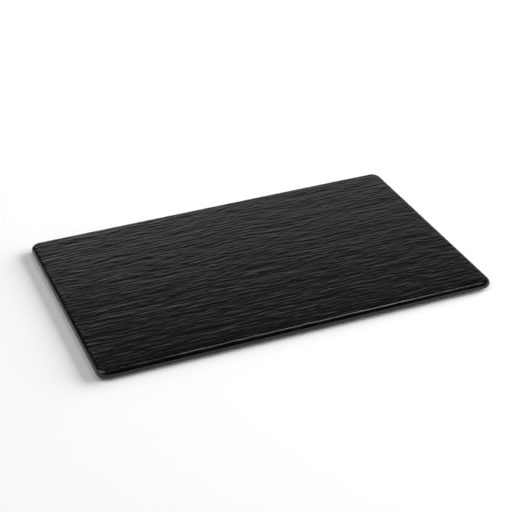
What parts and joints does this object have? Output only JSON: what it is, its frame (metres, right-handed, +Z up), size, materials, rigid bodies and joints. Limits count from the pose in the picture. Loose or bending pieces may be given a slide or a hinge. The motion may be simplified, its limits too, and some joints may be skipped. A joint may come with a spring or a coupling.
{
  "type": "serving board",
  "caption": "Flat rectangular black melamine serving board with a slate-look cleft face, rounded edges and corners, a hollow underside and glued non-slip feet.",
  "frame": {"origin": "on the table, under the middle of the board", "axes": "+X along the long side, +Y towards the far long side in the picture, +Z up out of the serving face"},
  "size_m": [0.3, 0.2, 0.0071],
  "materials": {
    "melamine": "satin black, slate-look relief on the face, glossier edge",
    "silicone": "matte dark grey silicone",
    "adhesive": "milky acrylic adhesive film"
  },
  "bodies": {
    "root": {"board": "melamine", "adhesive_front_left": "adhesive", "adhesive_front_right": "adhesive", "adhesive_back_left": "adhesive", "adhesive_back_right": "adhesive", "foot_front_left": "silicone", "foot_front_right": "silicone", "foot_back_left": "silicone", "foot_back_right": "silicone"}
  },
  "joints": []
}
